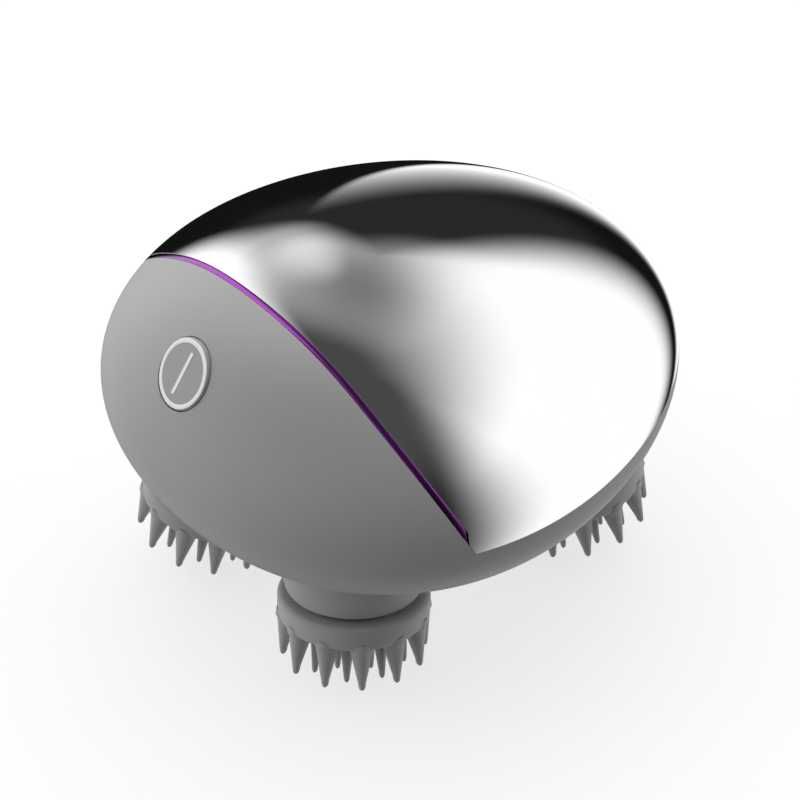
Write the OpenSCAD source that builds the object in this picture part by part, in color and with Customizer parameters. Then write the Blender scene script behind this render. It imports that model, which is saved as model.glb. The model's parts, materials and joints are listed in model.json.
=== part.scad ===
// Palm-held scalp massager: an egg-shaped body on four leaning, spinning heads with soft tips.
// +X runs from the button end to the rear, +Z is up, and the origin lies on the resting plane
// under the middle of the body.

/* [Body] */
// Length of the body, button end to rear end
body_len = 118; // [116:1:121]
// Width of the body
body_w = 110.6; // [109:0.2:113]
// Height of the crown above the widest level
crown_h = 33; // [32:0.5:34]
// Depth of the bowl below the widest level
bowl_h = 25.4; // [25:0.2:26]
// Height of the widest level above the resting plane
belt_z = 44.45; // [44:0.05:45]
// Extra length of the rear half, as a share of the mean half length
rear_full = 0.125; // [0.11:0.005:0.14]
// Height of the soft shoulder over the button
shoulder_h = 5; // [0:0.5:6]
// Wall thickness of the cover and the housing
wall = 2; // [1.8:0.1:2.2]

/* [Seam] */
// Where the upright part of the seam crosses the length
seam_x0 = -35.5; // [-37:0.1:-34]
// Radius of the seam's sweep back to the lower corner
seam_r = 105; // [100:1:110]
// Height at which that sweep starts
seam_z = 90; // [88:0.5:92]
// Turn of the seam about the upright axis, towards the button, as a slope
seam_skew = 0.032; // [0:0.002:0.04]
// Height of the cover's lower edge at the lower corner
lip_z0 = 45; // [44.6:0.2:46]
// Rise of that edge towards the rear, per millimetre
lip_rise = 0.016; // [0:0.002:0.02]
// Width of the coloured strip in the seam
strip_w = 1; // [0.8:0.1:1.4]
// Height at which the strip ends, above the lower corner
strip_end = 2; // [1:0.5:4]

/* [Button] */
// Direction of the button round the body, from the rear end
button_az = 174.1; // [170:0.1:180]
// Elevation of the button, seen from the middle of the body
button_el = 25.9; // [24:0.1:28]
// How steeply the button faces up
button_tilt = 32.7; // [30:0.1:38]
// Turn of the button's facing about the upright axis
button_turn = -1.5; // [-3:0.5:3]
// How far the cap's face stands proud of the housing
button_proud = 0.2; // [0.1:0.1:0.6]
// Radius of the button cap
button_r = 7; // [6.8:0.1:8]
// How far the cap travels when it is pressed
button_travel = 0.6; // [0.4:0.1:0.8]

/* [Heads] */
// Half the distance between the front and rear heads, at their rims
head_dx = 29.5; // [29:0.1:30]
// Half the distance between the left and right heads
head_dy = 22.4; // [22:0.1:22.8]
// Lean of each head's axis from upright
head_lean = 10.8; // [10:0.2:11.6]
// Direction in which the heads lean, from the length
head_splay = 46.7; // [45:0.5:48]
// Height of the middle of each head's lower rim
rim_z = 12.08; // [12.04:0.01:12.1]
// Radius of a head
head_r = 15.06; // [14.8:0.02:15.2]
// Thickness of a head's rim
head_t = 4.96; // [4.8:0.02:5]
// Number of tips in the outer ring of each head
tip_count = 12; // [10:1:12]
// Length of the outer tips below the rim
tip_len = 9.55; // [9:0.05:9.6]
// Turn of each head's tips at rest
tip_turn = [9.7, 13.9, 11.7, 12]; // [0:0.1:30]
// Number of tips in the middle ring of each head
mid_count = 9; // [8:1:9]
// Turn of each head's middle ring at rest
mid_turn = [35.4, 9.6, 15.6, 20]; // [0:0.1:40]
// Turn of the five innermost tips at rest
inner_turn = 40; // [0:1:72]

/* [Gears] */
// Module of the gears that drive the heads
drive_m = 1.1; // [1.1:0.1:1.1]
// Teeth of the centre gear
centre_n = 40; // [40:1:40]
// Teeth of each head's gear
head_n = 20; // [20:1:20]
// Teeth of the idler's small gear
idler_n = 10; // [10:1:10]
// Module of the gears next to the motor
motor_m = 0.8; // [0.8:0.1:0.8]
// Teeth of the idler's large gear
wheel_n = 36; // [36:1:36]
// Teeth of the motor's pinion
pinion_n = 12; // [12:1:12]
// Sideways offset of the motor from the gear centre
motor_dx = 8; // [7:0.5:9]

/* [Hidden] */
SPOTS = ["front_left", "front_right", "rear_left", "rear_right"];
SIGNS = [[-1, -1], [-1, 1], [1, -1], [1, 1]];
HEAD_PARTS = ["head_pad", "head_hub", "head_shaft", "head_gear", "shaft_bushing", "shaft_seal"];

$fn = 64;
GREY = [0.62, 0.62, 0.63];
rx = body_len / 2;
ry = body_w / 2;
rz = (crown_h + bowl_h) / 2;
lift = (crown_h - bowl_h) / (crown_h + bowl_h);
body_x = -rx * rear_full;
body_c = [body_x, 0, belt_z];
head_x0 = body_x + 5;
shoulder_el = 38;
shoulder_band = 18;
shoulder_side = 55;
gap = 0.15;
cover_step = strip_w + 2 * gap;
rear_cols = 44;
front_cols = 36;
cover_rows = 14;
fan_rows = 5;
level_rows = 11;

// Neck bosses, measured up each head's axis from the lower rim
neck_s = head_t + 1.5;
neck_r = 13.6;
neck_flare = tan(14);
neck_top = 19.5;
neck_wall = 2;
tube_r = 6.5;
tube_top = 17;
seal_r = 5;
seal_top = 8.6;
collar_r = 10;
bush_r = 4;
shaft_r = 2.5;
shaft_s0 = 1.8;
shaft_s1 = 30.1;
gasket_in = wall + 0.45;
gasket_t = 1.2;
run = 0.06;

// Gear train
gear_s = 22.5;
gear_t = 3.5;
mesh_z = rim_z + gear_s * cos(head_lean) - drive_m * head_n / 2 * sin(head_lean);
idler_y = drive_m * (centre_n + idler_n) / 2;
motor_gap = motor_m * (wheel_n + pinion_n) / 2;
motor_y = idler_y - sqrt(motor_gap * motor_gap - motor_dx * motor_dx);
wheel_z = 35.2;
wheel_t = 2.5;
motor_az = atan2(motor_y - idler_y, motor_dx);
axle_r = 2;
pin_r = 1.5;

// Chassis, posts and screws
plate_z = 40;
plate_t = 2.5;
plate_r = 38;
post_r = 3.5;
side_y = 46;
end_x = 47;
screw_r = 1.25;
screw_hole = 1.3;
screw_head = 2.3;
screw_seat = 34.5;
post_z = 33.5;
screw_top = 54;
dock_z = 18.2;
dock_r = 14;
contact_y = 8;
contact_r = 2;

// ---- the skin ----
function dir(az, el) = [cos(el) * cos(az), cos(el) * sin(az), sin(el)];
function turn_from_front(az) = let (a = abs(az) % 360) 180 - (a > 180 ? 360 - a : a);
function shoulder(az, el) = shoulder_h * exp(-pow((el - shoulder_el) / shoulder_band, 2))
    * exp(-pow(turn_from_front(az) / shoulder_side, 2));
function skin(az, el, inset = 0) =
    let (d = dir(az, el),
         k = norm([d.x / ((rx - inset) * (1 + rear_full * d.x)), d.y / (ry - inset),
                   d.z / ((rz - inset) * (1 + lift * d.z))]))
    body_c + d * (1 / k + shoulder(az, el));

// ---- the seam: an upright plane that sweeps back below seam_z, and the cover's lower edge ----
function seam_x(z, w) = let (r = seam_r - w, drop = max(0, seam_z - z))
    seam_x0 + seam_r - sqrt(max(0, r * r - drop * drop));
function lip_z(x) = lip_z0 + lip_rise * (x - seam_x0);
function ahead(p, w) = p.x - seam_skew * p.y - seam_x(p.z, w);
function above(p, lip) = p.z - lip_z(p.x) - lip;
function step_w(z) = let (t = (z - lip_z0 - strip_end) / 2) gap + (cover_step - gap) * max(0, min(1, t));
function past_edge(p, w, lip) = ahead(p, w < 0 ? step_w(p.z) : w) > 0 && above(p, lip) > 0;
function edge_el(az, w, lip, lo = -40, hi = 85, n = 18) =
    n == 0 ? (lo + hi) / 2 :
    let (m = (lo + hi) / 2)
    past_edge(skin(az, m), w, lip) ? edge_el(az, w, lip, lo, m, n - 1) : edge_el(az, w, lip, m, hi, n - 1);
function corner_az(w, lip, side, lo = 90, hi = 150, n = 14) =
    n == 0 ? (lo + hi) / 2 :
    let (m = (lo + hi) / 2, p = skin(side * m, edge_el(side * m, w, lip)))
    ahead(p, w < 0 ? step_w(p.z) : w) < above(p, lip) ? corner_az(w, lip, side, lo, m, n - 1)
                                                     : corner_az(w, lip, side, m, hi, n - 1);
function front_columns(w, lip, n) =
    let (a = corner_az(w, lip, 1), b = 360 - corner_az(w, lip, -1))
    [for (i = [0:n]) a + (b - a) * i / n];
function columns(w, lip) =
    let (f = front_columns(w, lip, front_cols), a = f[front_cols] - 360)
    concat([for (i = [0:rear_cols - 1]) a + (f[0] - a) * i / rear_cols],
           [for (i = [0:front_cols - 1]) f[i]]);

// Elevation of a housing row: the rows fan out below the edge, and run level below the widest level
function bowl_el(e, j) = j < fan_rows ? e * (1 - j / fan_rows) : -90 * (j - fan_rows) / level_rows;

// Triangles of a quad whose corners run clockwise as seen from outside
function quad(a, b, c, d, flip) = flip ? [[c, b, a], [d, c, a]] : [[a, b, c], [a, c, d]];

// A thin dome from an edge to a pole at el = pole
module dome(w, lip, pole) {
    azs = columns(w, lip);
    n = len(azs);
    up = pole > 0;
    rows = up ? cover_rows : fan_rows + level_rows;
    els = [for (az = azs) edge_el(az, w, lip)];
    pts = [for (inset = [0, wall]) for (j = [0:rows - 1]) for (i = [0:n - 1])
           skin(azs[i], up ? els[i] + (pole - els[i]) * j / rows : bowl_el(els[i], j), inset)];
    poles = [skin(0, pole), skin(0, pole, wall)];
    sides = [for (s = [0, 1]) for (j = [0:rows - 2]) for (i = [0:n - 1])
             let (o = s * rows * n + j * n, k = (i + 1) % n)
             each quad(o + i, o + n + i, o + n + k, o + k, up == (s == 1))];
    caps = [for (s = [0, 1]) for (i = [0:n - 1])
            let (o = s * rows * n + (rows - 1) * n, k = (i + 1) % n, p = 2 * rows * n + s)
            up == (s == 1) ? [o + k, p, o + i] : [o + i, p, o + k]];
    rim = [for (i = [0:n - 1]) let (k = (i + 1) % n)
           each quad(i, k, rows * n + k, rows * n + i, !up)];
    polyhedron(concat(pts, poles), concat(sides, caps, rim));
}

// A closed or open band whose section, in each column, is a four-cornered list of points
module band(sections, closed) {
    n = len(sections);
    last = closed ? n - 1 : n - 2;
    walls = [for (i = [0:last]) for (c = [0:3])
             let (a = i * 4 + c, b = i * 4 + (c + 1) % 4, k = (i + 1) % n)
             each quad(a, b, k * 4 + (c + 1) % 4, k * 4 + c, false)];
    ends = closed ? [] : concat(quad(3, 2, 1, 0, false),
                                quad(4 * n - 4, 4 * n - 3, 4 * n - 2, 4 * n - 1, false));
    polyhedron([for (s = sections) each s], concat(walls, ends));
}

// ---- heads: each is drawn upright with its lower rim at z = 0, then leant and placed ----
function head_c(i) = [head_x0 + SIGNS[i].x * head_dx, SIGNS[i].y * head_dy, rim_z];
function head_az(i) = atan2(SIGNS[i].y * sin(head_splay), SIGNS[i].x * cos(head_splay));
module at_head(i) translate(head_c(i)) rotate([0, 0, head_az(i)]) rotate([0, -head_lean, 0]) children();

// Direction from a head's gear to the centre gear, in the leant head's own plane
function to_centre(i) =
    let (a = head_az(i), s = gear_s * sin(head_lean), c = head_c(i),
         v = [head_x0 - c.x + s * cos(a), -c.y + s * sin(a)])
    atan2(-v.x * sin(a) + v.y * cos(a), (v.x * cos(a) + v.y * sin(a)) * cos(head_lean));

// ---- gears: straight-sided stub teeth, thick is the share of the pitch that a tooth fills ----
module gear_2d(m, n, thick, add = 0.7, ded = 1.2) {
    r = m * n / 2;
    pitch = 360 / n;
    lean = 0.36 * m * 180 / (PI * r);
    half = pitch * thick / 2;
    tooth = [[r - ded * m, -half - lean * ded], [r + add * m, -half + lean * add],
             [r + add * m, half - lean * add], [r - ded * m, half + lean * ded]];
    polygon([for (i = [0:n - 1]) for (k = tooth) k[0] * [cos(i * pitch + k[1]), sin(i * pitch + k[1])]]);
}
module gear(m, n, t, thick = 0.42) linear_extrude(t) gear_2d(m, n, thick);

module ring(r_out, r_in, h) difference() {
    cylinder(r = r_out, h = h);
    translate([0, 0, -1]) cylinder(r = r_in, h = h + 2);
}
module at_side_posts() for (p = [[head_x0, side_y], [head_x0, -side_y], [head_x0 + end_x, 0]])
    translate([p.x, p.y, 0]) children();

// ---- shells ----
module neck_solid() translate([0, 0, neck_s])
    cylinder(h = neck_top - neck_s, r1 = neck_r, r2 = neck_r + neck_flare * (neck_top - neck_s), $fn = 96);
module neck_hollow() difference() {
    translate([0, 0, neck_s + neck_wall])
        cylinder(h = neck_top - neck_s + 1, r1 = neck_r - neck_wall,
                 r2 = neck_r - neck_wall + neck_flare * (neck_top - neck_s + 1), $fn = 96);
    cylinder(r = tube_r, h = tube_top);
}
module at_button() translate(skin(button_az, button_el))
    rotate([0, 90 - button_tilt, button_az + button_turn]) children();

module main_housing() color(GREY) difference() {
    union() {
        dome(0, 0, -90);
        for (i = [0:3]) at_head(i) neck_solid();
        at_side_posts() translate([0, 0, post_z]) cylinder(r = post_r, h = plate_z - post_z);
        for (s = [-1, 1]) translate([head_x0 + s * end_x, 0, 31]) cylinder(r = post_r, h = plate_z - 31);
        translate([head_x0, 0, dock_z]) cylinder(r = dock_r, h = 3.2);
        translate([head_x0, 0, dock_z + 1]) cylinder(r = 4.5, h = 29.8 - dock_z - 1);
        translate([head_x0, idler_y, 24]) cylinder(r = 3.5, h = 5.9);
    }
    for (i = [0:3]) at_head(i) {
        neck_hollow();
        translate([0, 0, neck_s - 1]) cylinder(r = seal_r, h = seal_top - neck_s + 1);
        cylinder(r = bush_r, h = tube_top + 1);
    }
    at_side_posts() {
        translate([0, 0, 20]) cylinder(r = screw_head + 0.4, h = screw_seat - 20);
        translate([0, 0, 20]) cylinder(r = screw_hole, h = 30);
    }
    translate([head_x0 - end_x, 0, 33]) cylinder(r = screw_hole, h = 10);
    for (s = [-1, 1]) translate([head_x0, s * contact_y, dock_z - 1]) cylinder(r = contact_r, h = 6);
    translate([head_x0, 0, 22]) cylinder(r = axle_r, h = 10);
    translate([head_x0, idler_y, 26]) cylinder(r = pin_r, h = 5);
    at_button() translate([0, 0, -8]) cylinder(r = button_r + 0.3, h = 16);
}

module top_cover() color([0.86, 0.86, 0.88]) difference() {
    union() {
        dome(-1, gap, 90);
        at_side_posts() translate([0, 0, plate_z + plate_t])
            cylinder(r = post_r, h = 57.5 - plate_z - plate_t);
        translate([head_x0 + end_x, 0, 55]) cylinder(r = post_r, h = 6);
    }
    at_side_posts() translate([0, 0, plate_z]) cylinder(r = screw_hole, h = screw_top + 0.5 - plate_z);
}

module accent_strip() color([0.5, 0.16, 0.62]) {
    azs = front_columns(-1, gap, front_cols);
    band([for (i = [1:front_cols - 1])
          let (az = azs[i], a = edge_el(az, gap, 0), b = edge_el(az, gap + strip_w, 0))
          [skin(az, a), skin(az, b), skin(az, b, 1.3), skin(az, a, 1.3)]], false);
}

module cover_gasket() color([0.12, 0.12, 0.13])
    band([for (az = columns(0, 0))
          let (e = edge_el(az, 0, 0))
          [skin(az, e - 2.5, gasket_in), skin(az, e + 2.5, gasket_in),
           skin(az, e + 2.5, gasket_in + gasket_t), skin(az, e - 2.5, gasket_in + gasket_t)]], true);

// ---- button ----
module button_cap() color([0.6, 0.6, 0.61]) at_button() translate([0, 0, button_proud])
    rotate_extrude() polygon([[0, -3], [button_r - 1.5, -3], [button_r - 1.5, -2.4], [button_r, -2.4],
                              [button_r, -0.3], [button_r - 0.08, -0.08], [button_r - 0.25, 0], [0, 0]]);
module button_icon() color([0.95, 0.95, 0.95]) at_button() translate([0, 0, button_proud]) {
    ring(button_r - 0.3, button_r - 1, 0.1);
    translate([-4.5, -0.35, 0]) cube([9, 0.7, 0.1]);
}
module button_board() color([0.1, 0.35, 0.2]) at_button() translate([0, 0, -3.6 - button_travel]) {
    translate([-1.6, -1.6, -0.8]) cube([3.2, 3.2, 1.6]);
    translate([-5, -6, -2.4]) cube([10, 12, 1.6]);
}

// ---- chassis ----
module gear_chassis() color([0.25, 0.27, 0.3]) difference() {
    translate([head_x0, 0, plate_z]) union() {
        cylinder(r = plate_r, h = plate_t);
        translate([-end_x, -4, 0]) cube([2 * end_x, 8, plate_t]);
        translate([-4, -side_y, 0]) cube([8, 2 * side_y, plate_t]);
        for (s = [-1, 1]) {
            translate([s * end_x, 0, 0]) cylinder(r = 4, h = plate_t);
            translate([0, s * side_y, 0]) cylinder(r = 4, h = plate_t);
        }
    }
    for (i = [0:3]) at_head(i) translate([0, 0, gear_s + 3]) cylinder(r = shaft_r + run, h = 10);
    translate([head_x0, 0, plate_z - 1]) cylinder(r = axle_r, h = plate_t + 2);
    translate([head_x0, idler_y, plate_z - 1]) cylinder(r = pin_r, h = plate_t + 2);
    translate([head_x0 + motor_dx, motor_y, plate_z - 1]) cylinder(r = 3.2, h = plate_t + 2);
    for (s = [-1, 1]) translate([head_x0 + motor_dx + s * 8, motor_y, plate_z - 1]) cylinder(r = 1.1, h = 5);
    at_side_posts() translate([0, 0, plate_z - 1]) cylinder(r = screw_hole, h = plate_t + 2);
    translate([head_x0 - end_x, 0, plate_z - 1]) cylinder(r = screw_hole, h = plate_t + 2);
}
module centre_axle() color([0.75, 0.76, 0.78])
    translate([head_x0, 0, 22]) cylinder(r = axle_r, h = plate_z + plate_t - 22);
module idler_pin() color([0.75, 0.76, 0.78])
    translate([head_x0, idler_y, 26]) cylinder(r = pin_r, h = plate_z + plate_t - 26);

// ---- gear train ----
module centre_gear() color([0.9, 0.88, 0.82]) translate([head_x0, 0, mesh_z - gear_t / 2]) difference() {
    union() {
        gear(drive_m, centre_n, gear_t, 0.33);
        cylinder(r = 4, h = gear_t + 0.8);
    }
    translate([0, 0, -1]) cylinder(r = axle_r + run, h = gear_t + 3);
    for (k = [0:5]) rotate(k * 60 + 30) translate([12.5, 0, -1]) cylinder(r = 4, h = gear_t + 3);
}
module idler_gear() color([0.9, 0.88, 0.82]) translate([head_x0, idler_y, 0]) difference() {
    union() {
        translate([0, 0, mesh_z - gear_t / 2]) gear(drive_m, idler_n, wheel_z - mesh_z + gear_t / 2);
        translate([0, 0, wheel_z]) rotate(motor_az) gear(motor_m, wheel_n, wheel_t);
    }
    translate([0, 0, mesh_z - gear_t]) cylinder(r = pin_r + run, h = 12);
}
module gear_motor() color([0.7, 0.71, 0.73]) translate([head_x0 + motor_dx, motor_y, plate_z + plate_t]) {
    difference() {
        union() {
            cylinder(r = 12, h = 9);
            translate([0, 0, 9]) cylinder(r = 11.6, h = 18);
            translate([0, 0, 27]) cylinder(r = 4, h = 1.2);
            translate([0, 0, -2]) cylinder(r = 3.1, h = 2);
        }
        for (s = [-1, 1]) translate([s * 8, 0, -1]) cylinder(r = 0.85, h = 5);
        translate([0, 0, -3]) cylinder(r = 1.5 + run, h = 8);
    }
}
module motor_pinion() color([0.8, 0.7, 0.4]) translate([head_x0 + motor_dx, motor_y, 0]) {
    translate([0, 0, wheel_z - 0.3]) rotate(motor_az + 180 + 180 / pinion_n)
        gear(motor_m, pinion_n, wheel_t + 0.6);
    translate([0, 0, wheel_z + wheel_t]) cylinder(r = 1.5, h = plate_z + plate_t + 4.5 - wheel_z - wheel_t);
}
module motor_screws() color([0.55, 0.55, 0.58])
    for (s = [-1, 1]) translate([head_x0 + motor_dx + s * 8, motor_y, plate_z]) {
        cylinder(r = 0.85, h = plate_t + 3);
        translate([0, 0, -1]) cylinder(r = 1.6, h = 1);
    }

// ---- power ----
battery_x = head_x0 - 22;
battery_z = plate_z + plate_t + 8.2;
module battery_cell() color([0.2, 0.45, 0.75]) translate([battery_x, -24.5, battery_z]) rotate([-90, 0, 0]) {
    cylinder(r = 7, h = 48);
    cylinder(r = 2.6, h = 49);
}
module battery_cradle() color([0.2, 0.2, 0.22]) difference() {
    translate([battery_x - 8, -26.5, plate_z + plate_t]) cube([16, 53, 8.2]);
    translate([battery_x, -24.6, battery_z]) rotate([-90, 0, 0]) cylinder(r = 7.1, h = 49.2);
}
module main_board() color([0.08, 0.3, 0.18]) translate([head_x0 + 23, 0, plate_z + plate_t]) {
    for (p = [[3, -14], [3, 14], [9, 0]]) translate([p.x, p.y, 0]) cylinder(r = 1.8, h = 3);
    translate([0, -18, 3]) cube([20, 36, 1.6]);
    translate([4, -6, 4.6]) cube([7, 7, 1]);
    translate([12, 5, 4.6]) cube([5, 6, 2]);
    translate([5, 8, 4.6]) cube([4, 4, 1.2]);
}
module charge_contacts() color([0.9, 0.75, 0.35])
    for (s = [-1, 1]) translate([head_x0, s * contact_y, dock_z]) cylinder(r = contact_r, h = 4.6);

// ---- fasteners ----
module long_screws() color([0.55, 0.55, 0.58]) at_side_posts() {
    translate([0, 0, screw_seat - 1.8]) cylinder(r = screw_head, h = 1.8);
    translate([0, 0, screw_seat]) cylinder(r = screw_r, h = screw_top - screw_seat);
}
module chassis_screw() color([0.55, 0.55, 0.58]) translate([head_x0 - end_x, 0, 0]) {
    translate([0, 0, plate_z + plate_t]) cylinder(r = screw_head, h = 1.8);
    translate([0, 0, plate_z - 6]) cylinder(r = screw_r, h = plate_t + 6);
}

// ---- one head ----
module tip(r0, r1, s, base_r, end_r) {
    out = atan2(r1 - r0, s);
    len = norm([r1 - r0, s]);
    translate([r0, 0, 0]) rotate([0, 180 - out, 0]) {
        translate([0, 0, -0.9]) cylinder(r1 = base_r, r2 = end_r, h = len - end_r + 0.9, $fn = 24);
        translate([0, 0, len - end_r]) sphere(r = end_r, $fn = 24);
    }
}
module head_pad(i) color(GREY) at_head(i) difference() {
    union() {
        rotate_extrude($fn = 96) polygon([[0, 0], [head_r - 0.8, 0], [head_r - 0.2, 0.25], [head_r, 0.9],
                                          [head_r, head_t - 0.9], [head_r - 0.25, head_t - 0.25],
                                          [head_r - 0.9, head_t], [0, head_t]]);
        for (k = [0:tip_count - 1]) rotate(tip_turn[i] + k * 360 / tip_count)
            tip(12.9, 14.15, tip_len, 2.1, 0.5);
        for (k = [0:mid_count - 1]) rotate(mid_turn[i] + k * 360 / mid_count)
            tip(9.3, 10.4, tip_len + 0.75, 1.45, 0.5);
        for (k = [0:4]) rotate(inner_turn + k * 72) tip(4.9, 5.6, tip_len + 1.5, 1.5, 0.5);
    }
    translate([0, 0, 1.6]) cylinder(r = 11.5, h = head_t);
}
module head_hub(i) color([0.5, 0.5, 0.52]) at_head(i) difference() {
    union() {
        translate([0, 0, 1.6]) cylinder(r = 11.5, h = head_t - 1.6);
        translate([0, 0, head_t - 0.5]) cylinder(r = collar_r, h = neck_s - head_t + 0.1);
    }
    translate([0, 0, shaft_s0]) cylinder(r = shaft_r, h = 6);
}
module head_shaft(i) color([0.75, 0.76, 0.78]) at_head(i)
    translate([0, 0, shaft_s0]) cylinder(r = shaft_r, h = shaft_s1 - shaft_s0);
module head_gear(i) color([0.9, 0.88, 0.82]) at_head(i) translate([0, 0, gear_s - gear_t / 2]) difference() {
    union() {
        rotate(to_centre(i) + 180 / head_n) gear(drive_m, head_n, gear_t, 0.33);
        cylinder(r = 5, h = gear_t + 1);
    }
    translate([0, 0, -1]) cylinder(r = shaft_r, h = gear_t + 3);
}
module shaft_bushing(i) color([0.72, 0.55, 0.3]) at_head(i)
    translate([0, 0, seal_top]) ring(bush_r, shaft_r + run, tube_top - seal_top);
module shaft_seal(i) color([0.1, 0.1, 0.1]) at_head(i)
    translate([0, 0, neck_s + 0.2]) ring(seal_r, shaft_r + 0.1, seal_top - neck_s - 0.2);

main_housing();
top_cover();
accent_strip();
cover_gasket();
button_cap();
button_icon();
button_board();
gear_chassis();
centre_axle();
centre_gear();
idler_pin();
idler_gear();
gear_motor();
motor_pinion();
motor_screws();
battery_cell();
battery_cradle();
main_board();
charge_contacts();
long_screws();
chassis_screw();
for (i = [0:3]) {
    head_pad(i);
    head_hub(i);
    head_shaft(i);
    head_gear(i);
    shaft_bushing(i);
    shaft_seal(i);
}
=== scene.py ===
import json
import math

import bpy
import bmesh
import numpy as np
from mathutils import Matrix, Vector


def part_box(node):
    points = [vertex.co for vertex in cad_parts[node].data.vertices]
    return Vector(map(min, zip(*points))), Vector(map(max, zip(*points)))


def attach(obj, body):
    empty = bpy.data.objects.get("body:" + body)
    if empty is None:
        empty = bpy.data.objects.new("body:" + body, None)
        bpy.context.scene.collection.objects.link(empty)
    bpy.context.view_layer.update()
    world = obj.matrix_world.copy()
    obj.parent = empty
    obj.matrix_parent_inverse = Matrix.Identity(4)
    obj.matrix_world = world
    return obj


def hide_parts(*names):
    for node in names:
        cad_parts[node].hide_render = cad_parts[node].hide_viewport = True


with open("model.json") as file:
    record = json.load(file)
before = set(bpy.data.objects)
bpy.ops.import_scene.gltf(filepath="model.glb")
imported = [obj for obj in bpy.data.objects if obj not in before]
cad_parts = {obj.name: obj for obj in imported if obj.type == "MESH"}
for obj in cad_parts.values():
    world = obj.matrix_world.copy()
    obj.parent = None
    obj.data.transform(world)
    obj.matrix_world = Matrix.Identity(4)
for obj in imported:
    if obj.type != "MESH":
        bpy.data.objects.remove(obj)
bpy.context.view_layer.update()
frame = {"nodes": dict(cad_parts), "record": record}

MM = 0.001

# ---------------------------------------------------------------- sizes
SPOTS = ["front_left", "front_right", "rear_left", "rear_right"]
SIGNS = [(-1, -1), (-1, 1), (1, -1), (1, 1)]

HOUSING_LOW, HOUSING_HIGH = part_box("main_housing")
COVER_LOW, COVER_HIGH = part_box("top_cover")
HALF_LEN = (HOUSING_HIGH.x - HOUSING_LOW.x) / 2
HALF_WIDTH = (HOUSING_HIGH.y - HOUSING_LOW.y) / 2
BELT_Z = 44.45 * MM
BOWL = 25.4 * MM
CROWN = COVER_HIGH.z - BELT_Z
HALF_HEIGHT = (CROWN + BOWL) / 2
LIFT = (CROWN - BOWL) / (CROWN + BOWL)
REAR_FULL = 0.125
BODY_X = -HALF_LEN * REAR_FULL
CENTRE = np.array([BODY_X, 0.0, BELT_Z])
WALL = 2.0 * MM

SHOULDER = 5.0 * MM
SHOULDER_EL = math.radians(38)
SHOULDER_BAND = math.radians(18)
SHOULDER_SIDE = math.radians(55)

SEAM_X = -35.5 * MM
SEAM_R = 105.0 * MM
SEAM_Z = 90.0 * MM
SEAM_SKEW = 0.032
LIP_Z = 45.0 * MM
LIP_RISE = 0.016
SEAM_GAP = 0.04 * MM
STRIP_W = 1.15 * MM
STRIP_END = 3.0 * MM
STRIP_ROUND = 0.025 * MM
STRIP_CROWN = 0.02 * MM
STRIP_DEEP = 1.2 * MM
COVER_STEP = STRIP_W + 2 * SEAM_GAP

BUTTON_AZ = math.radians(174.1)
BUTTON_EL = math.radians(25.9)
BUTTON_TILT = math.radians(32.7)
BUTTON_TURN = math.radians(-1.5)
BUTTON_PROUD = 0.03 * MM
BUTTON_R = 7.0 * MM
RING_IN = 5.85 * MM
RING_OUT = 6.72 * MM
PRINT_T = 0.05 * MM
BAR_HALF = 4.15 * MM
BAR_R = 0.4 * MM

HEAD_X0 = BODY_X + 5 * MM
HEAD_DX = 29.5 * MM
HEAD_DY = 22.4 * MM
RIM_Z = 12.08 * MM
LEAN = math.radians(10.8)
SPLAY = math.radians(46.7)
HEAD_R = 15.06 * MM
HEAD_T = 4.96 * MM
TIP_LEN = 9.55 * MM
TIP_TURN = [9.7, 13.9, 11.7, 12.0]
MID_TURN = [35.4, 9.6, 15.6, 20.0]
INNER_TURN = 40.0
NECK_S = HEAD_T + 1.5 * MM
NECK_R = 13.6 * MM
NECK_FLARE = math.tan(math.radians(14))
SEAL_R = 5.0 * MM

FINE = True


# ---------------------------------------------------------------- the skin of the body
def shoulder(az, el):
    turn = math.pi - np.abs((az + math.pi) % (2 * math.pi) - math.pi)
    fade = np.exp(-((el - SHOULDER_EL) / SHOULDER_BAND) ** 2)
    return SHOULDER * fade * np.exp(-(turn / SHOULDER_SIDE) ** 2)


def reach(az, el, inset=0.0):
    """Distance from the body's centre to its skin in a direction."""
    dx, dy, dz = np.cos(el) * np.cos(az), np.cos(el) * np.sin(az), np.sin(el)
    k = np.sqrt((dx / ((HALF_LEN - inset) * (1 + REAR_FULL * dx))) ** 2 + (dy / (HALF_WIDTH - inset)) ** 2
                + (dz / ((HALF_HEIGHT - inset) * (1 + LIFT * dz))) ** 2)
    return 1 / k + shoulder(az, el)


def skin(az, el, inset=0.0):
    az, el = np.broadcast_arrays(np.asarray(az, float), np.asarray(el, float))
    d = np.stack([np.cos(el) * np.cos(az), np.cos(el) * np.sin(az), np.sin(el)], -1)
    return CENTRE + d * reach(az, el, inset)[..., None]


def onto_skin(points, inset=0.0):
    """Points moved along rays from the centre onto the skin."""
    q = points - CENTRE
    return skin(np.arctan2(q[..., 1], q[..., 0]), np.arctan2(q[..., 2], np.hypot(q[..., 0], q[..., 1])), inset)


def depth(points):
    """Signed distance along the ray from the centre: positive outside the skin."""
    q = points - CENTRE
    r = np.linalg.norm(q, axis=-1)
    return r - reach(np.arctan2(q[..., 1], q[..., 0]), np.arcsin(q[..., 2] / r))


# ---------------------------------------------------------------- the seam between cover and housing
def seam_x(z, w):
    r = SEAM_R - w
    drop = np.maximum(0, SEAM_Z - z)
    return SEAM_X + SEAM_R - np.sqrt(np.maximum(0, r * r - drop * drop))


def step_w(z):
    """The cover steps back for the strip, and closes on the housing below the strip's end."""
    t = np.clip((z - LIP_Z - STRIP_END + 0.6 * MM) / (1.2 * MM), 0, 1)
    return SEAM_GAP + (COVER_STEP - SEAM_GAP) * t * t * (3 - 2 * t)


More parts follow.
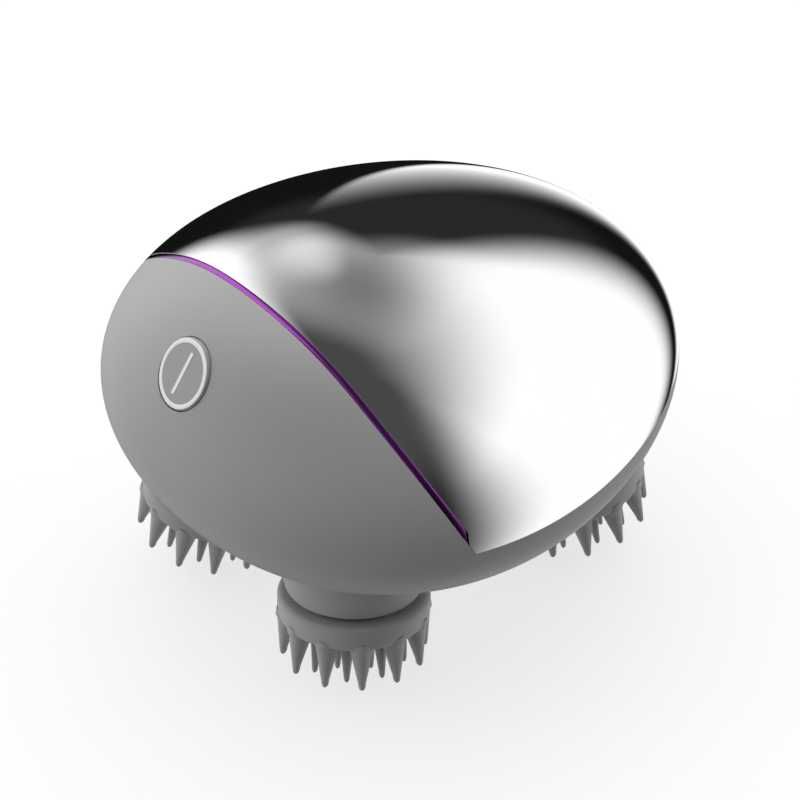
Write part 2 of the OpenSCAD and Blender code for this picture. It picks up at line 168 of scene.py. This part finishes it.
def past_seam(p, w, lip, stepped):
    front = w + (step_w(p[..., 2]) if stepped else 0)
    ahead = p[..., 0] - SEAM_SKEW * p[..., 1] - seam_x(p[..., 2], front)
    above = p[..., 2] - (LIP_Z + LIP_RISE * (p[..., 0] - SEAM_X)) - lip
    return ahead, above


def edge_el(az, w, lip, stepped=False):
    az = np.asarray(az, float)
    lo, hi = np.full(az.shape, math.radians(-40)), np.full(az.shape, math.radians(85))
    for _ in range(30):
        mid = (lo + hi) / 2
        ahead, above = past_seam(skin(az, mid), w, lip, stepped)
        inside = (ahead > 0) & (above > 0)
        hi, lo = np.where(inside, mid, hi), np.where(inside, lo, mid)
    return (lo + hi) / 2


def corner_az(side, w, lip, stepped=False):
    lo, hi = math.radians(90), math.radians(150)
    for _ in range(26):
        mid = (lo + hi) / 2
        az = side * mid
        ahead, above = past_seam(skin(az, edge_el(az, w, lip, stepped)), w, lip, stepped)
        if ahead < above:
            hi = mid
        else:
            lo = mid
    return (lo + hi) / 2


def crowded(t):
    """Spreads the values from 0 to 1 so that they stand closer towards both ends."""
    return t - 0.9 * np.sin(2 * math.pi * t) / (2 * math.pi)


def columns(w, lip, stepped, rear, front):
    """Directions round the body, with one exactly at each lower corner of the cover."""
    left, right = corner_az(1, w, lip, stepped), -corner_az(-1, w, lip, stepped)
    a = right + (left - right) * np.arange(rear) / rear
    b = left + (right + 2 * math.pi - left) * crowded(np.arange(front) / front)
    return np.concatenate([a, b])


# ---------------------------------------------------------------- mesh helpers
def make(name, verts, faces, sharp=None):
    mesh = bpy.data.meshes.new(name)
    mesh.from_pydata([tuple(v) for v in verts], [], faces)
    mesh.validate()
    bm = bmesh.new()
    bm.from_mesh(mesh)
    bmesh.ops.recalc_face_normals(bm, faces=bm.faces)
    bm.to_mesh(mesh)
    bm.free()
    mesh.shade_smooth()
    if sharp:
        mesh.set_sharp_from_angle(angle=math.radians(sharp))
    obj = bpy.data.objects.new(name, mesh)
    bpy.context.scene.collection.objects.link(obj)
    return obj


def loft(rings, closed_ring=True, start_pole=None, end_pole=None, caps=False):
    """Verts and faces of a surface through rings of equal length."""
    n = len(rings[0])
    verts = np.concatenate(rings)
    faces = []
    span = n if closed_ring else n - 1
    for j in range(len(rings) - 1):
        for i in range(span):
            k = (i + 1) % n
            faces.append((j * n + i, j * n + k, (j + 1) * n + k, (j + 1) * n + i))
    if start_pole is not None:
        verts = np.concatenate([verts, [start_pole]])
        faces += [(len(verts) - 1, (i + 1) % n, i) for i in range(n)]
    if end_pole is not None:
        verts = np.concatenate([verts, [end_pole]])
        o = (len(rings) - 1) * n
        faces += [(o + i, o + (i + 1) % n, len(verts) - 1) for i in range(n)]
    if caps:
        faces += [tuple(range(n)), tuple(reversed(range((len(rings) - 1) * n, len(rings) * n)))]
    return verts, faces


def merged(parts):
    verts, faces, base = [], [], 0
    for v, f in parts:
        verts.append(v)
        faces += [tuple(i + base for i in face) for face in f]
        base += len(v)
    return np.concatenate(verts), faces


def lathe(profile, segments=128):
    """Rings of a profile of (radius, height) pairs turned about Z, closed at both ends on the axis."""
    a = np.arange(segments) * 2 * math.pi / segments
    rings = [np.stack([r * np.cos(a), r * np.sin(a), np.full(segments, z)], -1)
             for r, z in profile if r > 0]
    start = (0, 0, profile[0][1]) if profile[0][0] == 0 else None
    end = (0, 0, profile[-1][1]) if profile[-1][0] == 0 else None
    return loft(rings, start_pole=start, end_pole=end)


def corner_arc(cx, cz, r, a0, a1, steps=7):
    """Points of a rounded corner in a lathe profile, angles in degrees."""
    return [(cx + r * math.cos(math.radians(a)), cz + r * math.sin(math.radians(a)))
            for a in np.linspace(a0, a1, steps)]


def placed(part, matrix):
    verts, faces = part
    m = np.array(matrix)
    return verts @ m[:3, :3].T + m[:3, 3], faces


def finish_piece(obj, body, slot, material, *nodes):
    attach(obj, body)
    if nodes:
        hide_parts(*nodes)
    obj.data.materials.clear()
    obj.data.materials.append(material)
    return obj


# ---------------------------------------------------------------- materials
def principled(name, base, rough, metallic=0.0, **extra):
    mat = bpy.data.materials.new(name)
    mat.use_nodes = True
    nodes, links = mat.node_tree.nodes, mat.node_tree.links
    bsdf = nodes["Principled BSDF"]
    bsdf.inputs["Base Color"].default_value = (*base, 1)
    bsdf.inputs["Roughness"].default_value = rough
    bsdf.inputs["Metallic"].default_value = metallic
    for key, value in extra.items():
        bsdf.inputs[key.replace("_", " ")].default_value = value
    return mat, nodes, links, bsdf


def object_noise(nodes, links, scale, detail=4.0, rough=0.55):
    coord = nodes.new("ShaderNodeTexCoord")
    noise = nodes.new("ShaderNodeTexNoise")
    noise.inputs["Scale"].default_value = scale
    noise.inputs["Detail"].default_value = detail
    noise.inputs["Roughness"].default_value = rough
    links.new(coord.outputs["Object"], noise.inputs["Vector"])
    return noise


def ramp(nodes, links, source, stops):
    node = nodes.new("ShaderNodeValToRGB")
    links.new(source, node.inputs["Fac"])
    elements = node.color_ramp.elements
    while len(elements) < len(stops):
        elements.new(0.5)
    for element, (pos, value) in zip(elements, stops):
        element.position = pos
        element.color = (*value, 1) if isinstance(value, tuple) else (value, value, value, 1)
    return node.outputs["Color"]


def bump(nodes, links, bsdf, height, distance, strength=1.0):
    node = nodes.new("ShaderNodeBump")
    node.inputs["Distance"].default_value = distance
    node.inputs["Strength"].default_value = strength
    links.new(height, node.inputs["Height"])
    links.new(node.outputs["Normal"], bsdf.inputs["Normal"])


def shade_of(color, factor):
    return tuple(min(1.0, c * factor) for c in color)


def moulded(name, base, rough, grain=900.0, grain_depth=0.00003, vary=0.04, metallic=0.0, **extra):
    """Moulded plastic, rubber or silicone: a fine grain, slight mottling and uneven gloss."""
    mat, nodes, links, bsdf = principled(name, base, rough, metallic, **extra)
    cloud = object_noise(nodes, links, 38.0, 3.0)
    color = ramp(nodes, links, cloud.outputs["Fac"],
                 [(0.3, shade_of(base, 1 - vary)), (0.7, shade_of(base, 1 + vary))])
    links.new(color, bsdf.inputs["Base Color"])
    fine = object_noise(nodes, links, grain, 2.0)
    gloss = ramp(nodes, links, fine.outputs["Fac"], [(0.25, rough * 0.9), (0.75, min(1.0, rough * 1.1))])
    links.new(gloss, bsdf.inputs["Roughness"])
    bump(nodes, links, bsdf, fine.outputs["Fac"], grain_depth, 0.5)
    return mat


def mirror(name, base):
    """Vacuum plated chrome over a moulded shell: near perfect, with a trace of haze."""
    mat, nodes, links, bsdf = principled(name, base, 0.04, 1.0)
    cloud = object_noise(nodes, links, 60.0, 3.0)
    gloss = ramp(nodes, links, cloud.outputs["Fac"], [(0.35, 0.03), (0.75, 0.055)])
    links.new(gloss, bsdf.inputs["Roughness"])
    tint = ramp(nodes, links, cloud.outputs["Fac"], [(0.3, shade_of(base, 0.985)), (0.7, base)])
    links.new(tint, bsdf.inputs["Base Color"])
    return mat


def machined(name, base, rough, scale=420.0):
    """Turned or plated metal with fine tool marks."""
    mat, nodes, links, bsdf = principled(name, base, rough, 1.0)
    coord = nodes.new("ShaderNodeTexCoord")
    wave = nodes.new("ShaderNodeTexWave")
    wave.wave_type = "BANDS"
    wave.bands_direction = "Z"
    wave.inputs["Scale"].default_value = scale
    wave.inputs["Distortion"].default_value = 1.5
    links.new(coord.outputs["Object"], wave.inputs["Vector"])
    gloss = ramp(nodes, links, wave.outputs["Fac"], [(0.2, rough * 0.8), (0.8, min(1.0, rough * 1.25))])
    links.new(gloss, bsdf.inputs["Roughness"])
    cloud = object_noise(nodes, links, 90.0, 3.0)
    tint = ramp(nodes, links, cloud.outputs["Fac"], [(0.3, shade_of(base, 0.9)), (0.7, base)])
    links.new(tint, bsdf.inputs["Base Color"])
    return mat


def circuit(name):
    """A printed circuit board: green solder mask over faint copper tracks."""
    mat, nodes, links, bsdf = principled(name, (0.02, 0.14, 0.06), 0.35)
    coord = nodes.new("ShaderNodeTexCoord")
    brick = nodes.new("ShaderNodeTexBrick")
    brick.inputs["Scale"].default_value = 260.0
    brick.inputs["Color1"].default_value = (0.02, 0.14, 0.06, 1)
    brick.inputs["Color2"].default_value = (0.025, 0.19, 0.08, 1)
    brick.inputs["Mortar"].default_value = (0.05, 0.24, 0.11, 1)
    links.new(coord.outputs["Object"], brick.inputs["Vector"])
    links.new(brick.outputs["Color"], bsdf.inputs["Base Color"])
    fine = object_noise(nodes, links, 1200.0, 2.0)
    gloss = ramp(nodes, links, fine.outputs["Fac"], [(0.3, 0.3), (0.7, 0.45)])
    links.new(gloss, bsdf.inputs["Roughness"])
    return mat


GREY = (0.4, 0.4, 0.405)
MATERIALS = {
    "housing_plastic": moulded("housing_plastic", GREY, 0.5, 1400.0, 0.000012, 0.015,
                               Specular_IOR_Level=0.3),
    "cover_chrome": mirror("cover_chrome", (0.93, 0.93, 0.94)),
    "strip_metallic": moulded("strip_metallic", (0.42, 0.085, 0.54), 0.12, 1500.0, 0.000002, 0.05, 1.0),
    "seal_rubber": moulded("seal_rubber", (0.02, 0.02, 0.021), 0.6),
    "button_plastic": moulded("button_plastic", shade_of(GREY, 0.97), 0.5, 1400.0, 0.000012, 0.015,
                              Specular_IOR_Level=0.3),
    "icon_print": moulded("icon_print", (0.93, 0.93, 0.93), 0.35, 1600.0, 0.000005, 0.01),
    "circuit_board": circuit("circuit_board"),
    "chassis_plastic": moulded("chassis_plastic", (0.05, 0.055, 0.06), 0.5),
    "steel": machined("steel", (0.6, 0.6, 0.62), 0.22),
    "gear_plastic": moulded("gear_plastic", (0.78, 0.75, 0.66), 0.4),
    "motor_can": machined("motor_can", (0.58, 0.59, 0.6), 0.28),
    "pinion_brass": machined("pinion_brass", (0.75, 0.55, 0.25), 0.25),
    "screw_steel": machined("screw_steel", (0.45, 0.45, 0.47), 0.3),
    "battery_wrap": moulded("battery_wrap", (0.03, 0.16, 0.42), 0.3),
    "contact_gold": machined("contact_gold", (0.9, 0.65, 0.28), 0.18),
    "tip_silicone": moulded("tip_silicone", GREY, 0.5, 1800.0, 0.00001, 0.02, 0.0,
                            Subsurface_Weight=0.06, Subsurface_Scale=0.5,
                            Subsurface_Radius=(0.002, 0.002, 0.002)),
    "hub_plastic": moulded("hub_plastic", (0.2, 0.2, 0.205), 0.5),
    "bushing_brass": machined("bushing_brass", (0.6, 0.4, 0.18), 0.35),
}


def dress_cad_nodes():
    slots = {s["node"]: s["material_slot"] for s in frame["record"]["subparts"]}
    for name, obj in frame["nodes"].items():
        material = MATERIALS[slots[name]]
        if not obj.data.materials:
            obj.data.materials.append(material)
        for i in range(len(obj.data.materials)):
            obj.data.materials[i] = material


# ---------------------------------------------------------------- shells
def rolled_edge(radius, steps):
    """Pairs of distance back from the edge and inset, round a rolled edge from the wall to the skin."""
    return [(radius * (1 - math.cos(a)), radius * (1 - math.sin(a)))
            for a in np.linspace(0, math.pi / 2, steps)]


def shell_rings(side, w0, lip0, stepped, radius, rear, front, rows, pole, inner_rows=14):
    """Rings of a closed thin dome: the inner face down to the edge, round it, and the outer face back up."""
    def edge(extra):
        w, lip = w0 + side * extra, lip0 + side * extra
        az = columns(w, lip, stepped, rear, front)
        return az, edge_el(az, w, lip, stepped)

    az_i, el_i = edge(radius)
    inner = [skin(az_i, el_i + (pole - el_i) * t, WALL) for t in np.linspace(1, 0, inner_rows + 1)[1:]]
    az_e, el_e = edge(0.0)
    wall = [skin(az_e, el_e, inset) for inset in np.linspace(WALL * 0.9, radius * 1.05, 4)]
    roll = []
    for back, inset in rolled_edge(radius, 7):
        az, el = edge(back)
        roll.append(skin(az, el, inset))
    az_o, el_o = edge(radius)
    t = np.linspace(0, 1, rows + 1)[1:-1]
    outer = [skin(az_o, el_o + (pole - el_o) * k) for k in t]
    return inner + wall + roll + outer


def true_normals(obj):
    """Gives the points on the skin its exact normals, so that reflections don't follow the mesh."""
    points = np.array([v.co for v in obj.data.vertices], float)
    probe = 0.01 * MM
    slope = np.stack([depth(points + probe * axis) - depth(points - probe * axis)
                      for axis in np.eye(3)], -1)
    slope /= np.linalg.norm(slope, axis=-1, keepdims=True)
    off_skin = np.abs(depth(points)) > 0.001 * MM
    near_pole = np.hypot(points[:, 0] - BODY_X, points[:, 1]) < 0.5 * MM
    slope[off_skin | near_pole] = 0
    obj.data.normals_split_custom_set_from_vertices([tuple(n) for n in slope])


def cover():
    rear, front, rows = (300, 220, 150) if FINE else (150, 110, 60)
    pole = math.pi / 2
    rings = shell_rings(1, 0.0, SEAM_GAP, True, 0.07 * MM, rear, front, rows, pole)
    v, f = loft(rings, start_pole=skin(0, pole, WALL), end_pole=skin(0, pole))
    obj = make("chrome_cover", v, f)
    true_normals(obj)
    return finish_piece(obj, "body_shell", "cover_chrome", MATERIALS["cover_chrome"], "top_cover")


def head_matrix(i):
    sx, sy = SIGNS[i]
    az = math.atan2(sy * math.sin(SPLAY), sx * math.cos(SPLAY))
    place = Matrix.Translation((HEAD_X0 + sx * HEAD_DX, sy * HEAD_DY, RIM_Z))
    return place @ Matrix.Rotation(az, 4, "Z") @ Matrix.Rotation(-LEAN, 4, "Y")


def neck(i, segments=160):
    """A neck boss that flares up from its mouth and blends into the bowl with a fillet."""
    m = np.array(head_matrix(i))
    a = np.arange(segments) * 2 * math.pi / segments
    out = np.stack([np.cos(a), np.sin(a), np.zeros(segments)], -1)

    def side(s):
        r = NECK_R + NECK_FLARE * (s - NECK_S)
        local = out * np.asarray(r)[..., None]
        local[:, 2] = s
        return local @ m[:3, :3].T + m[:3, 3]

    lo, hi = np.full(segments, NECK_S), np.full(segments, NECK_S + 24 * MM)
    for _ in range(30):
        mid = (lo + hi) / 2
        outside = depth(side(mid)) > 0
        lo, hi = np.where(outside, mid, lo), np.where(outside, hi, mid)
    meet = (lo + hi) / 2
    fillet = 1.3 * MM
    start = side(np.maximum(meet - fillet, NECK_S + 0.9 * MM))
    knee = side(meet)
    spread = out @ m[:3, :3].T
    end = onto_skin(knee + spread * fillet * 1.15, 0.02 * MM)
    rings = []
    mouth = ([(SEAL_R, NECK_S), (NECK_R - 3 * MM, NECK_S)]
             + corner_arc(NECK_R - 0.5 * MM, NECK_S + 0.5 * MM, 0.5 * MM, -90, -6))
    for r, s in mouth:
        local = out * r
        local[:, 2] = s
        rings.append(local @ m[:3, :3].T + m[:3, 3])
    first = rings[-1]
    rings += [first + (start - first) * t for t in (0.25, 0.5, 0.75, 1.0)]
    for t in np.linspace(0, 1, 9)[1:]:
        rings.append(start * (1 - t) ** 2 + knee * 2 * t * (1 - t) + end * t * t)
    return loft(rings)


def at_button():
    place = skin(BUTTON_AZ, BUTTON_EL)
    turn = BUTTON_AZ + BUTTON_TURN
    return (Matrix.Translation(Vector(place)) @ Matrix.Rotation(turn, 4, "Z")
            @ Matrix.Rotation(math.pi / 2 - BUTTON_TILT, 4, "Y"))


def cutter(name, matrix, radius, low, high):
    part = placed(lathe([(0, low), (radius, low), (radius, high), (0, high)], 96), matrix)
    return make(name, *part)


def housing():
    rear, front, rows = (260, 200, 130) if FINE else (130, 100, 60)
    pole = -math.pi / 2
    rings = shell_rings(-1, 0.0, 0.0, False, 0.15 * MM, rear, front, rows, pole)
    bowl = loft(rings, start_pole=skin(0, pole, WALL), end_pole=skin(0, pole))
    obj = make("grey_housing", *bowl)
    tools = [cutter("cut_button", at_button(), BUTTON_R + 0.18 * MM, -6 * MM, 8 * MM)]
    for x, y in ((HEAD_X0, 46 * MM), (HEAD_X0, -46 * MM), (HEAD_X0 + 47 * MM, 0)):
        tools.append(cutter("cut_screw", Matrix.Translation((x, y, 0)), 2.7 * MM, 20 * MM, 34.5 * MM))
    for tool in tools:
        mod = obj.modifiers.new("cut", "BOOLEAN")
        mod.operation = "DIFFERENCE"
        mod.solver = "EXACT"
        mod.object = tool
        bpy.context.view_layer.objects.active = obj
        bpy.ops.object.modifier_apply(modifier=mod.name)
        bpy.data.objects.remove(tool)
    necks = merged([neck(i) for i in range(4)])
    dock = placed(lathe([(0, 0), (13.6 * MM, 0)] + corner_arc(13.6 * MM, 0.4 * MM, 0.4 * MM, -90, 0)
                        + [(14 * MM, 3.2 * MM)], 128), Matrix.Translation((HEAD_X0, 0, 18.2 * MM)))
    extra = make("necks", *merged([necks, dock]))
    both = [obj, extra]
    with bpy.context.temp_override(active_object=obj, selected_editable_objects=both, object=obj):
        bpy.ops.object.join()
    obj.data.shade_smooth()
    obj.data.set_sharp_from_angle(angle=math.radians(38))
    return finish_piece(obj, "body_shell", "housing_plastic", MATERIALS["housing_plastic"],
                        "main_housing")


def strip():
    """The metallic strip in the seam, slightly crowned, with rounded ends."""
    n = 320 if FINE else 160
    run = crowded(np.arange(n) / (n - 1))
    first, last = corner_az(1, 0.0, STRIP_END), 2 * math.pi - corner_az(-1, 0.0, STRIP_END)
    az = first + (last - first) * run
    end_fade = np.sqrt(np.clip(np.minimum(run, 1 - run) / 0.003, 0, 1))
    mid_w = SEAM_GAP + STRIP_W / 2
    half = STRIP_W / 2 * np.maximum(end_fade, 0.12)
    across = list(np.linspace(-1, 1, 11))
    section = [(u, STRIP_ROUND * u ** 6 - STRIP_CROWN * (1 - u * u)) for u in across]
    section += [(0.9, STRIP_DEEP), (-0.9, STRIP_DEEP)]
    lanes = []
    for u, inset in section:
        w = mid_w + u * half
        el = np.array([edge_el(a, ww, -1.0) for a, ww in zip(az, w)])
        lanes.append(skin(az, el, inset))
    rings = [np.stack([lane[i] for lane in lanes]) for i in range(n)]
    v, f = loft(rings, caps=True)
    obj = make("violet_strip", v, f, 40)
    return finish_piece(obj, "body_shell", "strip_metallic", MATERIALS["strip_metallic"], "accent_strip")


# ---------------------------------------------------------------- button
def button():
    m = at_button() @ Matrix.Translation((0, 0, BUTTON_PROUD))
    dome = 0.12 * MM
    face = [(BUTTON_R * k, -dome * k * k) for k in np.linspace(0, 0.93, 12)]
    profile = ([(0, -2.75 * MM), (BUTTON_R - 0.4 * MM, -2.75 * MM), (BUTTON_R, -2.5 * MM)]
               + corner_arc(BUTTON_R - 0.5 * MM, -0.62 * MM, 0.5 * MM, 0, 80, 8) + face[::-1])
    cap = make("button_face", *placed(lathe(profile, 160), m), 50)
    finish_piece(cap, "button", "button_plastic", MATERIALS["button_plastic"], "button_cap")
    r0, r1, h, root = RING_IN, RING_OUT, PRINT_T, -0.2 * MM
    bevel = 0.08 * MM
    a = np.arange(160) * 2 * math.pi / 160
    rings = []
    for r, z in ((r0, root), (r0, h * 0.5), (r0 + bevel, h), (r1 - bevel, h), (r1, h * 0.5), (r1, root)):
        drop = -dome * (r / BUTTON_R) ** 2
        rings.append(np.stack([r * np.cos(a), r * np.sin(a), np.full(160, z + drop)], -1))
    ring = loft(rings)
    outline = [(end * BAR_HALF + BAR_R * math.cos(t + turn), BAR_R * math.sin(t + turn))
               for end, turn in ((1, 0), (-1, math.pi))
               for t in np.linspace(-math.pi / 2, math.pi / 2, 12)]
    bar_rings = [np.array([(x, y, z) for x, y in outline]) for z in (root, h)]
    bar = loft(bar_rings, caps=True)
    icon = make("button_print", *placed(merged([ring, bar]), m), 40)
    finish_piece(icon, "button", "icon_print", MATERIALS["icon_print"], "button_icon")


# ---------------------------------------------------------------- heads
def tip(angle, base_r, end_r, length, foot, point, segments=40):
    """One soft tip: rings parallel to the pad, a flared foot and a rounded end."""
    a = np.arange(segments) * 2 * math.pi / segments
    heights = np.concatenate([np.linspace(-0.16, 0.0, 3)[:-1], np.linspace(0, 0.12, 6),
                              np.linspace(0.2, 0.9, 9)])
    body_len = length - point
    rings = []
    for t in heights:
        r = foot + (point - foot) * max(t, 0) + 0.28 * MM * math.exp(-max(t, 0) / 0.035)
        r = min(r, foot + 0.28 * MM)
        cx = base_r + (end_r - base_r) * t
        rings.append(np.stack([cx + r * np.cos(a), r * np.sin(a), np.full(segments, -body_len * t)], -1))
    shoulder_t = 0.9
    r_last = foot + (point - foot) * shoulder_t
    for k in np.linspace(0, 1, 8)[1:-1]:
        r = r_last * math.cos(k * math.pi / 2) ** 0.8
        s = body_len * shoulder_t + (length - body_len * shoulder_t) * math.sin(k * math.pi / 2)
        cx = base_r + (end_r - base_r) * s / length
        rings.append(np.stack([cx + r * np.cos(a), r * np.sin(a), np.full(segments, -s)], -1))
    part = loft(rings, end_pole=(end_r, 0, -length))
    return placed(part, Matrix.Rotation(math.radians(angle), 4, "Z"))


def pad(i):
    r, t = HEAD_R, HEAD_T
    low, top = 0.8 * MM, 1.1 * MM
    profile = ([(0, 0), (6 * MM, 0), (11 * MM, 0)] + corner_arc(r - low, low, low, -90, 0)
               + corner_arc(r - top, t - top, top, 0, 90, 9)
               + [(12 * MM, t), (11.5 * MM, t), (11.5 * MM, 1.6 * MM), (0, 1.6 * MM)])
    parts = [lathe(profile, 192)]
    parts += [tip(TIP_TURN[i] + k * 30, 12.75 * MM, 14.15 * MM, TIP_LEN, 2.42 * MM, 0.58 * MM)
              for k in range(12)]
    parts += [tip(MID_TURN[i] + k * 40, 9.3 * MM, 10.4 * MM, TIP_LEN + 0.75 * MM, 1.6 * MM, 0.52 * MM)
              for k in range(9)]
    parts += [tip(INNER_TURN + k * 72, 4.9 * MM, 5.6 * MM, TIP_LEN + 1.5 * MM, 1.55 * MM, 0.5 * MM)
              for k in range(5)]
    obj = make("soft_pad_" + SPOTS[i], *placed(merged(parts), head_matrix(i)), 60)
    return finish_piece(obj, "head_" + SPOTS[i], "tip_silicone", MATERIALS["tip_silicone"],
                        "head_pad_" + SPOTS[i])


# ---------------------------------------------------------------- studio
VIEW_AZ = math.radians(49.26)
VIEW_EL = math.radians(40.0)
VIEW_DIST = 543.0 * MM
AIM = Vector((HEAD_X0, 0, 41.2 * MM))


def camera():
    """Looks at the button end from its left, from above."""
    toward = Vector((-math.cos(VIEW_AZ) * math.cos(VIEW_EL),
                     -math.sin(VIEW_AZ) * math.cos(VIEW_EL), math.sin(VIEW_EL)))
    right = Vector((math.sin(VIEW_AZ), -math.cos(VIEW_AZ), 0))
    up = toward.cross(right)
    data = bpy.data.cameras.new("camera")
    data.sensor_width = 36
    data.lens = 36 * VIEW_DIST / (160 * MM)
    data.shift_x = 0.0084
    data.shift_y = -0.0291
    obj = bpy.data.objects.new("camera", data)
    rot = Matrix((right, up, toward)).transposed()
    obj.matrix_world = Matrix.Translation(AIM + toward * VIEW_DIST) @ rot.to_4x4()
    bpy.context.scene.collection.objects.link(obj)
    bpy.context.scene.camera = obj


SOFT_LIGHT = (0.40, 0.91, 0.02)


class Sky:
    """Small helper that builds the studio's brightness from the direction of a ray."""

    def __init__(self, tree):
        self.nodes, self.links = tree.nodes, tree.links

    def math(self, op, *args):
        node = self.nodes.new("ShaderNodeMath")
        node.operation = op
        for socket, value in zip(node.inputs, args):
            if isinstance(value, (int, float)):
                socket.default_value = value
            else:
                self.links.new(value, socket)
        return node.outputs[0]

    def smooth(self, x, low, high):
        node = self.nodes.new("ShaderNodeMapRange")
        node.interpolation_type = "SMOOTHSTEP"
        node.inputs["From Min"].default_value = low
        node.inputs["From Max"].default_value = high
        self.links.new(x, node.inputs["Value"])
        return node.outputs["Result"]

    def mix(self, a, b, t):
        kept = self.math("MULTIPLY", a, self.math("SUBTRACT", 1.0, t))
        return self.math("ADD", kept, self.math("MULTIPLY", b, t))


def studio_sky():
    """Directions are told as degrees round from the camera's side (0 to 360) and degrees of elevation."""
    world = bpy.data.worlds.new("studio")
    bpy.context.scene.world = world
    world.use_nodes = True
    tree = world.node_tree
    tree.nodes.clear()
    sky = Sky(tree)
    coord = tree.nodes.new("ShaderNodeTexCoord")
    split = tree.nodes.new("ShaderNodeSeparateXYZ")
    tree.links.new(coord.outputs["Generated"], split.inputs[0])
    cam_az = math.degrees(math.atan2(-math.sin(VIEW_AZ), -math.cos(VIEW_AZ)))
    turn = sky.math("DEGREES", sky.math("ARCTAN2", split.outputs["Y"], split.outputs["X"]))
    az = sky.math("FLOORED_MODULO", sky.math("SUBTRACT", turn, cam_az), 360.0)
    el = sky.math("DEGREES", sky.math("ARCSINE", split.outputs["Z"]))

    # large softbox on the camera's right, dimmer towards the back and overhead
    level = sky.mix(0.03, 1.35, sky.smooth(az, 26.0, 72.0))
    back = sky.math("MULTIPLY", sky.smooth(az, 145.0, 184.0), sky.smooth(el, 21.0, 27.0))
    level = sky.mix(level, 0.54, back)
    off = sky.math("SUBTRACT", az, 107.0)
    near = sky.math("MINIMUM", off, 0.0)
    far = sky.math("MAXIMUM", off, 0.0)
    bow = sky.math("ADD", sky.math("MULTIPLY", sky.math("MULTIPLY", near, near), 0.0031),
                   sky.math("MULTIPLY", sky.math("MULTIPLY", far, far), 0.0025))
    level = sky.mix(level, 0.084, sky.smooth(sky.math("ADD", el, bow), 44.5, 81.0))
    # second panel behind, and the open room on the camera's left
    beyond = sky.smooth(az, 222.0, 240.0)
    level = sky.mix(level, 0.3, beyond)
    panel = sky.math("MULTIPLY", sky.smooth(az, 185.5, 199.0), sky.math("SUBTRACT", 1.0, beyond))
    panel = sky.math("MULTIPLY", panel, sky.math("SUBTRACT", 1.0, sky.smooth(el, 52.0, 96.0)))
    level = sky.mix(level, 1.42, panel)
    # black flag low at the back
    climb = sky.math("DIVIDE", sky.math("ADD", el, 10.0), 53.5)
    rise = sky.math("MAXIMUM", 0.0, sky.math("SUBTRACT", 1.0, climb))
    wide = sky.math("MULTIPLY", 46.0, sky.math("POWER", rise, 0.42))
    wide_right = sky.math("MULTIPLY", 28.5, sky.math("POWER", rise, 0.7))
    off = sky.math("SUBTRACT", az, 179.0)
    outside = sky.math("MAXIMUM", sky.math("SUBTRACT", sky.math("MULTIPLY", off, -1.0), wide),
                       sky.math("MULTIPLY", sky.math("SUBTRACT", off, wide_right), 2.07))
    flag = sky.math("SUBTRACT", 1.0, sky.smooth(outside, -11.5, 10.0))
    flag = sky.math("MULTIPLY", flag, sky.math("SUBTRACT", 1.0, sky.smooth(el, 31.0, 52.0)))
    level = sky.mix(level, sky.mix(0.0085, 0.028, sky.smooth(el, 0.0, 14.0)), flag)
    # bright blade in front of the flag, sharp on one side
    edge = sky.math("SUBTRACT", az, sky.math("ADD", 184.0, sky.math("MULTIPLY", el, 0.35)))
    left = sky.math("SUBTRACT", az, sky.math("ADD", 167.5, sky.math("MULTIPLY", el, 0.6)))
    along = sky.math("SUBTRACT", el, sky.math("MULTIPLY", sky.math("SUBTRACT", az, 178.0), 0.45))
    blade = sky.math("MULTIPLY", sky.math("SUBTRACT", 1.0, sky.smooth(edge, -1.0, 1.0)),
                     sky.smooth(left, -9.0, 4.0))
    glow = sky.mix(1.3, 0.02, sky.math("POWER", sky.smooth(along, -12.0, 14.0), 0.45))
    level = sky.mix(level, sky.math("MAXIMUM", glow, level), sky.math("MULTIPLY", blade, flag))

    # matt surfaces are lit softly from the camera's left
    toward = tree.nodes.new("ShaderNodeVectorMath")
    toward.operation = "DOT_PRODUCT"
    tree.links.new(coord.outputs["Generated"], toward.inputs[0])
    toward.inputs[1].default_value = Vector(SOFT_LIGHT).normalized()
    slant = sky.math("MULTIPLY", toward.outputs["Value"], 1.25)
    soft = sky.math("MAXIMUM", 0.02, sky.math("ADD", 1.2, slant))
    path = tree.nodes.new("ShaderNodeLightPath")
    seen = sky.mix(level, 1.0, path.outputs["Is Camera Ray"])
    seen = sky.mix(seen, soft, path.outputs["Is Diffuse Ray"])
    background = tree.nodes.new("ShaderNodeBackground")
    out = tree.nodes.new("ShaderNodeOutputWorld")
    tree.links.new(seen, background.inputs["Strength"])
    tree.links.new(background.outputs[0], out.inputs[0])


def studio():
    studio_sky()
    n = 96
    a = np.arange(n) * 2 * math.pi / n
    disc = [np.stack([r * np.cos(a), r * np.sin(a), np.zeros(n)], -1) for r in (0.5, 2.0, 6.0)]
    floor = make("floor", *loft(disc, start_pole=(0, 0, 0)))
    floor.data.materials.append(moulded("floor_paper", (0.36, 0.36, 0.36), 0.9, 400.0, 0.00005, 0.004, 0.0,
                                        Emission_Color=(1, 1, 1, 1), Emission_Strength=0.68))
    floor.visible_glossy = False
    floor.visible_diffuse = False


scene = bpy.context.scene
scene.view_settings.view_transform = "Standard"
scene.view_settings.look = "None"

camera()
dress_cad_nodes()
cover()
housing()
strip()
button()
for i in range(4):
    pad(i)
studio()
